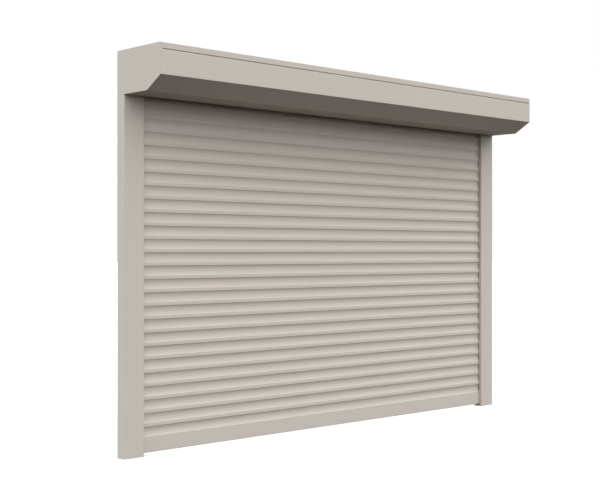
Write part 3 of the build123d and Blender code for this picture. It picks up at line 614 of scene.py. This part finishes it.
def join(name, pieces):
    """Join several objects into the first, under one name."""
    drop_selection()
    for piece in pieces:
        piece.select_set(True)
    bpy.context.view_layer.objects.active = pieces[0]
    bpy.ops.object.join()
    joined = bpy.context.active_object
    joined.name = name
    joined.data.name = name
    return joined


def finish_piece(piece, material, body, slot, *nodes):
    """Give a new piece its material and its body, and hide the nodes it stands for. The slot is not used.
    """
    piece.data.materials.clear()
    piece.data.materials.append(material)
    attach(piece, body)
    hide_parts(*nodes)


def moved_copy(piece, name, move):
    """A copy of a piece with its own mesh, moved away from it."""
    only(piece)
    bpy.ops.object.duplicate(linked=False)
    copy = bpy.context.active_object
    copy.name = name
    copy.data.name = name
    bpy.ops.transform.translate(value=move)
    bpy.ops.object.transform_apply(location=True, rotation=False, scale=False)
    return copy


def copy_up(piece, name, rise):
    return moved_copy(piece, name, (0, 0, rise))


def copy_along(piece, name, step):
    return moved_copy(piece, name, (step, 0, 0))


# Slats
def folded_slat(sizes, low, high):
    """One slat, from the neck's foot at low.z: a curved double skin, a neck channel and a bead on top."""
    x_range = (low.x, high.x)
    front, foot = low.y, low.z
    neck_top = foot + sizes.neck_height
    joint = foot + slat_pitch()
    face_top = joint - sizes.top_gap
    middle = (neck_top + face_top) / 2
    half = (face_top - neck_top) / 2
    radius = (half**2 + sizes.hollow**2) / (2 * sizes.hollow)
    centre = Vector((front + sizes.hollow - radius, middle))
    sweep = 2 * math.degrees(math.asin(half / radius))
    outer = radius + sizes.thickness
    back_end = centre.x + math.sqrt(outer**2 - half**2)
    back_sweep = 2 * math.degrees(math.asin(half / outer))
    body = fold(
        "slat_body",
        x_range,
        (back_end, neck_top),
        [
            straight((front, neck_top)),
            bend(centre, sweep, sizes.arc_steps),
            straight((back_end, face_top)),
            bend(centre, -back_sweep, sizes.arc_steps),
        ],
        sizes.wall,
    )
    bead_y = front + sizes.neck_depth / 2
    slot = sizes.slot / 2
    neck = fold(
        "slat_neck",
        x_range,
        (bead_y + slot, foot),
        [
            straight((front + sizes.neck_depth, foot)),
            straight((front + sizes.neck_depth, neck_top)),
            straight((front, neck_top)),
            straight((front, foot)),
            straight((bead_y - slot, foot)),
        ],
        sizes.wall,
    )
    return join("slat", [body, neck, bead_on_top(sizes, x_range, bead_y, joint)])


def slat_pitch():
    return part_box(SLATS[1])[0].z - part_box(SLATS[0])[0].z


def bead_on_top(sizes, x_range, bead_y, joint):
    """The round bead on its stem, which hangs in the neck above the joint."""
    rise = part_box(SLATS[0])[1].z - sizes.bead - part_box(SLATS[0])[0].z - slat_pitch()
    centre = joint + rise
    length = x_range[1] - x_range[0]
    drop_selection()
    bpy.ops.mesh.primitive_cylinder_add(
        vertices=BEAD_SIDES,
        radius=sizes.bead,
        depth=length,
        location=(sum(x_range) / 2, bead_y, centre),
        rotation=(0, math.pi / 2, 0),
    )
    bpy.ops.object.transform_apply(location=True, rotation=True, scale=True)
    bead = bpy.context.active_object
    stem_foot = joint - sizes.top_gap - sizes.wall / 2
    stem = fold(
        "slat_stem",
        x_range,
        (bead_y - sizes.stem / 2, stem_foot),
        [straight((bead_y - sizes.stem / 2, centre))],
        sizes.stem,
    )
    return join("slat_bead", [bead, stem])


class SHUTTER_OT_slats(bpy.types.Operator):
    """Fold one slat and copy it up the curtain"""

    bl_idname = "shutter.slats"
    bl_label = "Slats"

    def execute(self, context):
        sizes = context.scene.shutter_slats
        material = paint_of(context, "slat_paint")
        first = folded_slat(sizes, *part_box(SLATS[0]))
        round_edges(first, SLAT_EDGE)
        smooth(first)
        first.name = "curtain_" + SLATS[0]
        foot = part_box(SLATS[0])[0].z
        for node in SLATS:
            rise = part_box(node)[0].z - foot
            piece = copy_up(first, "curtain_" + node, rise) if rise else first
            finish_piece(piece, material, "curtain", "painted_slat", node)
        return {"FINISHED"}


# Box
class SHUTTER_OT_covers(bpy.types.Operator):
    """Fold the top cover and the front cover of the box"""

    bl_idname = "shutter.covers"
    bl_label = "Covers"

    def execute(self, context):
        sizes = context.scene.shutter_box
        material = paint_of(context, "case_paint")
        self.fold_top(sizes, material)
        self.fold_front(sizes, material)
        return {"FINISHED"}

    def fold_top(self, sizes, material):
        low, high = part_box("top_cover")
        lip = high.z - sizes.groove_below_top
        inner = low.y + sizes.groove_depth - sizes.join_gap
        corners = [(high.y, low.z), (high.y, high.z), (low.y, high.z), (low.y, lip), (inner, lip)]
        cover = self.folded_cover("box_top_cover", (low.x, high.x), corners, sizes)
        finish_piece(cover, material, "frame", "painted_case", "top_cover")

    def fold_front(self, sizes, material):
        low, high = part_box("front_cover")
        wall = cad_bounds[1].y
        lip = cad_bounds[1].z - sizes.groove_below_top - sizes.groove_height
        inner = low.y + sizes.groove_depth
        shoulder = cad_bounds[1].z - sizes.front_height
        corners = [
            (inner, lip + sizes.tongue),
            (inner, lip),
            (low.y, lip),
            (low.y, shoulder),
            (wall - sizes.chamfer_foot, low.z),
            (wall - sizes.rail_depth, low.z),
            (wall - sizes.rail_depth, low.z + sizes.hem),
        ]
        cover = self.folded_cover("box_front_cover", (low.x, high.x), corners, sizes)
        finish_piece(cover, material, "frame", "painted_case", "front_cover")

    def folded_cover(self, name, x_range, corners, sizes):
        corners = [(*corner, sizes.bend) for corner in corners]
        cover = fold_through(name, x_range, corners, sizes.sheet)
        round_edges(cover, EDGE)
        smooth(cover)
        return cover


# Rails
class SHUTTER_OT_rails(bpy.types.Operator):
    """Draw the hollow section of each guide rail up to the box and drill it"""

    bl_idname = "shutter.rails"
    bl_label = "Rails"

    def execute(self, context):
        sizes = context.scene.shutter_rails
        material = paint_of(context, "case_paint")
        for side, hand in ((-1, "left"), (1, "right")):
            rail = self.drawn_rail("rail_" + hand, sizes, side, *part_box("guide_rail_" + hand))
            round_edges(rail, EDGE)
            self.drill_fixings(sizes, side, rail)
            smooth(rail)
            finish_piece(rail, material, "frame", "painted_case", "guide_rail_" + hand)
        return {"FINISHED"}

    def drawn_rail(self, name, sizes, side, low, high):
        """The section is folded along the door, with its height for width, and then stood up."""
        mouth = min(abs(low.x), abs(high.x))
        back = high.y
        blind = mouth + sizes.slot_length
        outer = mouth + sizes.width
        middle = mouth + sizes.width / 2
        rear, front = back - sizes.slot_rear, back - sizes.slot_rear - sizes.slot_width
        way = [
            (back, middle, 0),
            (back, mouth, 0),
            (rear, mouth, 0),
            (rear, blind, 0),
            (front, blind, 0),
            (front, mouth, 0),
            (low.y, mouth, sizes.corner),
            (low.y, outer, sizes.corner),
            (back, outer, 0),
            (back, middle, 0),
        ]
        corners = [(y, -side * x, radius) for y, x, radius in way]
        rail = fold_through(name, (low.z, high.z), corners, sizes.wall, outside_left=side < 0)
        only(rail)
        rail.rotation_euler = (0, -math.pi / 2, 0)
        bpy.ops.object.transform_apply(location=False, rotation=True, scale=False)
        return rail

    def drill_fixings(self, sizes, side, rail):
        """Drill the screws' holes in the back, and the wider ones in front of them that the plugs close."""
        low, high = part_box("guide_rail_left")
        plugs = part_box("rail_hole_plugs")
        radius = sizes.plug_hole / 2
        across = side * (plugs[1].x - radius + sizes.plug_play)
        lowest = plugs[0].z + radius - sizes.plug_play
        spacing = (plugs[1].z - plugs[0].z - sizes.plug_hole + 2 * sizes.plug_play) / (sizes.fixings - 1)
        for index in range(sizes.fixings):
            height = lowest + index * spacing
            drill(rail, sizes.plug_hole, (across, low.y, height))
            drill(rail, sizes.fixing_hole, (across, high.y, height))


def drill(piece, width, place):
    """Drill a round hole to the wall through the sheet at this place."""
    drop_selection()
    bpy.ops.mesh.primitive_cylinder_add(
        vertices=HOLE_SIDES,
        radius=width / 2,
        depth=DRILL_LENGTH,
        location=place,
        rotation=(math.pi / 2, 0, 0),
    )
    bpy.ops.object.transform_apply(location=True, rotation=True, scale=True)
    cutter = bpy.context.active_object
    apply_modifier(piece, "BOOLEAN", operation="DIFFERENCE", object=cutter, solver="EXACT")
    only(cutter)
    bpy.ops.object.delete()


# Bottom bar
class SHUTTER_OT_bar(bpy.types.Operator):
    """Fold the bottom bar with the slot that its seal hangs in"""

    bl_idname = "shutter.bar"
    bl_label = "Bottom bar"

    def execute(self, context):
        sizes = context.scene.shutter_bar
        slat = context.scene.shutter_slats
        low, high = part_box("bottom_bar")
        x_range = (low.x, high.x)
        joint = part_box(SLATS[0])[0].z
        top = joint - slat.top_gap
        middle = (low.y + high.y) / 2
        web = low.z + sizes.web
        way = [
            (middle + sizes.slot / 2, low.z, 0),
            (high.y, low.z, sizes.edge),
            (high.y, top, 0),
            (low.y, top, 0),
            (low.y, low.z, sizes.edge),
            (middle - sizes.slot / 2, low.z, 0),
        ]
        shell = fold_through("bar_shell", x_range, way, sizes.wall, outside_left=True)
        inner = (low.y + sizes.wall, high.y - sizes.wall)
        plate = fold("bar_web", x_range, (inner[0], web), [straight((inner[1], web))], sizes.wall)
        bead_y = low.y + slat.neck_depth / 2
        piece = join("curtain_bottom_bar", [shell, plate, bead_on_top(slat, x_range, bead_y, joint)])
        round_edges(piece, BAR_EDGE)
        smooth(piece)
        material = paint_of(context, "slat_paint")
        finish_piece(piece, material, "curtain", "painted_slat", "bottom_bar")
        return {"FINISHED"}


# Straps
class SHUTTER_OT_straps(bpy.types.Operator):
    """Bend the spring-steel straps between the drum and the curtain"""

    bl_idname = "shutter.straps"
    bl_label = "Straps"

    def execute(self, context):
        sizes = context.scene.shutter_straps
        low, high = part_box("hanging_straps")
        step = (high.x - low.x - sizes.width) / (sizes.count - 1)
        first = self.bent_strap(sizes, low, high)
        straps = [first] + [copy_along(first, "strap", step * i) for i in range(1, sizes.count)]
        piece = join("drum_straps", straps)
        round_edges(piece, EDGE)
        smooth(piece)
        colour = tuple(context.scene.shutter_colours.spring)
        finish_piece(piece, blued_steel(colour), "frame", "spring_steel", "hanging_straps")
        lift = next(j for j in frame["joints"] if j["name"] == "curtain_lift")["range_m"][1]
        left = 1 - lift / (high.z - low.z)
        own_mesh(piece)
        return {"FINISHED"}

    def bent_strap(self, sizes, low, high):
        bow = Vector((low.y + sizes.top_run, high.z - sizes.bow))
        way = [
            straight((low.y, high.z)),
            straight((bow.x, high.z)),
            bend(bow, -90, BOW_STEPS),
            straight((high.y, low.z)),
        ]
        x_range = (low.x, low.x + sizes.width)
        return fold("strap", x_range, (low.y, high.z - sizes.tab), way, sizes.thickness)


# Finishes of the pieces that keep their form
CARRIED = {
    "case_paint": ["end_cap_left", "end_cap_right", "rail_hole_plugs"],
    "slat_paint": ["strap_clips"],
    "zinc": [
        "cover_screws", "drum_tube", "motor_bracket", "motor_shaft",
        "bearing_bracket", "idler_pin", "bracket_screws",
    ],
    "ground_steel": ["bearing_outer_ring", "bearing_inner_ring", "bearing_shields"],
    "motor_paint": ["motor_body"],
    "grey_plastic": ["slat_end_locks", "bottom_bar_end_caps", "drive_wheel", "limit_ring", "idler_cap"],
    "black_plastic": ["inlet_funnels", "motor_head", "rail_foot_plugs"],
    # The glide strips are given a brown that is painted shade, the brown of light bounced inside the slot
    "shade_brown_plastic": ["glide_strips_left", "glide_strips_right"],
    "rubber": ["bottom_bar_seal", "cable_grommet"],
}


class SHUTTER_OT_finishes(bpy.types.Operator):
    """Give the pieces that keep their form their finishes"""

    bl_idname = "shutter.finishes"
    bl_label = "Finishes"

    def execute(self, context):
        colours = context.scene.shutter_colours
        made = {
            "case_paint": paint_of(context, "case_paint"),
            "slat_paint": paint_of(context, "slat_paint"),
            "zinc": plated_steel("zinc", tuple(colours.zinc), 0.38, (4.0, 300.0, 300.0)),
            "ground_steel": plated_steel("ground_steel", tuple(colours.ground), 0.22, (500.0, 20.0, 20.0)),
            "motor_paint": moulded_plastic("motor_paint", tuple(colours.motor), 0.4),
            "grey_plastic": moulded_plastic("grey_plastic", tuple(colours.grey_plastic), 0.5),
            "black_plastic": moulded_plastic("black_plastic", tuple(colours.black_plastic), 0.45),
            # Painted shade: a brown standing in for the light bounced inside the rails' slots
            "shade_brown_plastic": moulded_plastic("shade_brown_plastic", tuple(colours.shade_brown_plastic), 0.5),
            "rubber": soft_rubber("rubber", tuple(colours.rubber)),
        }
        for name, nodes in CARRIED.items():
            for node in nodes:
                mesh = frame["nodes"][node].data
                mesh.materials.clear()
                mesh.materials.append(made[name])
        return {"FINISHED"}


# Stage
SENSOR_WIDTH = 36.0  # millimetres, for the lens
FARTHEST_SEEN = 500.0  # metres
FLOOR_SPECKLE = 3.0  # scale of the floor's faint speckle
FLOOR_PALES = ((0.82, 0.82, 0.82), (0.84, 0.84, 0.84))  # its two tones as the camera sees them
FLOOR_BOUNCE = (0.023, 0.019, 0.015, 1.0)  # its colour for the light that it throws on the door
# Elevation in degrees, and how bright the sky is there
SKY = [
    (-90, 0.06), (-1, 0.06), (0, 0.38), (12, 0.40), (24, 0.48), (36, 0.60),
    (48, 0.70), (60, 0.58), (75, 0.28), (90, 0.08),
]


class SHUTTER_OT_stage(bpy.types.Operator):
    """Set the floor, the light and the camera"""

    bl_idname = "shutter.stage"
    bl_label = "Stage"

    def execute(self, context):
        stage = context.scene.shutter_stage
        self.lay_floor(stage)
        self.light_sky(context, stage)
        self.place_camera(context, stage)
        context.scene.view_settings.view_transform = "Standard"
        return {"FINISHED"}

    def lay_floor(self, stage):
        drop_selection()
        bpy.ops.mesh.primitive_plane_add(size=stage.floor_size, location=(0, 0, cad_bounds[0].z))
        floor = bpy.context.active_object
        floor.name = "floor"
        bpy.ops.object.transform_apply(location=True, rotation=True, scale=True)
        material = bpy.data.materials.new("pale_floor")
        paint = Paint(material)
        seen = self.seen_directly(paint)
        pale = paint.mixed(paint.noise(paint.here(), FLOOR_SPECKLE), *FLOOR_PALES)
        shown = paint.node("ShaderNodeBsdfDiffuse", None, {"Color": pale}, "BSDF")
        bounced = paint.node("ShaderNodeBsdfDiffuse", None, {"Color": FLOOR_BOUNCE}, "BSDF")
        paint.node_out(paint.node("ShaderNodeMixShader", None, {0: seen, 1: bounced, 2: shown}))
        floor.data.materials.append(material)

    def seen_directly(self, paint):
        """1 for rays that the camera, gloss or glass sends out, and 0 for light that is bounced."""
        kinds = [
            paint.node("ShaderNodeLightPath", output=name)
            for name in ("Is Camera Ray", "Is Glossy Ray", "Is Transmission Ray")
        ]
        total = kinds[0] + kinds[1] + kinds[2]
        return paint.between(total, 0.0, 1.0)

    def light_sky(self, context, stage):
        """A white background, and light from a sky whose level depends on the height above the horizon."""
        world = context.scene.world or bpy.data.worlds.new("sky")
        context.scene.world = world
        paint = Paint(world)
        direction = paint.node("ShaderNodeTexCoord", output="Generated")
        height = paint.node("ShaderNodeSeparateXYZ", None, {"Vector": direction}, "Z")
        stops = [((math.sin(math.radians(up)) + 1) / 2, (level,) * 3) for up, level in SKY]
        sky = paint.ramp(height * 0.5 + 0.5, stops)
        light = self.background(paint, sky, stage.sky_level)
        white = self.background(paint, (1, 1, 1, 1), 1.0)
        seen = self.seen_directly(paint)
        mixed = paint.node("ShaderNodeMixShader", None, {0: seen, 1: light, 2: white})
        out = paint.tree.nodes.new("ShaderNodeOutputWorld")
        paint.tree.links.new(mixed.socket, out.inputs["Surface"])

    def background(self, paint, colour, strength):
        values = {"Color": colour, "Strength": strength}
        return paint.node("ShaderNodeBackground", None, values, "Background")

    def place_camera(self, context, stage):
        drop_selection()
        turn = (math.pi / 2 + stage.camera_tilt, 0, -stage.camera_heading)
        bpy.ops.object.camera_add(location=stage.camera_place, rotation=turn)
        camera = bpy.context.active_object
        camera.data.lens = stage.lens
        camera.data.sensor_width = SENSOR_WIDTH
        camera.data.clip_end = FARTHEST_SEEN
        context.scene.camera = camera


class SHUTTER_PT_panel(bpy.types.Panel):
    """The door's sizes, colours and steps"""

    bl_idname = "SHUTTER_PT_panel"
    bl_label = "Roller shutter door"
    bl_space_type = "VIEW_3D"
    bl_region_type = "UI"
    bl_category = "Shutter"

    def draw(self, context):
        for name in GROUPS:
            group = getattr(context.scene, name)
            box = self.layout.box()
            for key in group.bl_rna.properties.keys():
                if key not in ("rna_type", "name"):
                    box.prop(group, key)
        for operator in OPERATORS:
            self.layout.operator(operator.bl_idname)


GROUPS = {
    "shutter_slats": ShutterSlatSizes,
    "shutter_box": ShutterBoxSizes,
    "shutter_rails": ShutterRailSizes,
    "shutter_bar": ShutterBarSizes,
    "shutter_straps": ShutterStrapSizes,
    "shutter_colours": ShutterColours,
    "shutter_stage": ShutterStage,
}
OPERATORS = [
    SHUTTER_OT_slats,
    SHUTTER_OT_bar,
    SHUTTER_OT_covers,
    SHUTTER_OT_rails,
    SHUTTER_OT_straps,
    SHUTTER_OT_finishes,
    SHUTTER_OT_stage,
]


def register():
    for group in GROUPS.values():
        bpy.utils.register_class(group)
    for name, group in GROUPS.items():
        setattr(bpy.types.Scene, name, bpy.props.PointerProperty(type=group))
    for cls in [*OPERATORS, SHUTTER_PT_panel]:
        bpy.utils.register_class(cls)


def unregister():
    for cls in reversed([*OPERATORS, SHUTTER_PT_panel]):
        bpy.utils.unregister_class(cls)
    for name in GROUPS:
        delattr(bpy.types.Scene, name)
    for group in GROUPS.values():
        bpy.utils.unregister_class(group)


def main():
    register()
    bpy.ops.shutter.slats()
    bpy.ops.shutter.bar()
    bpy.ops.shutter.covers()
    bpy.ops.shutter.rails()
    bpy.ops.shutter.straps()
    bpy.ops.shutter.finishes()
    bpy.ops.shutter.stage()


if __name__ == "__main__":
    main()
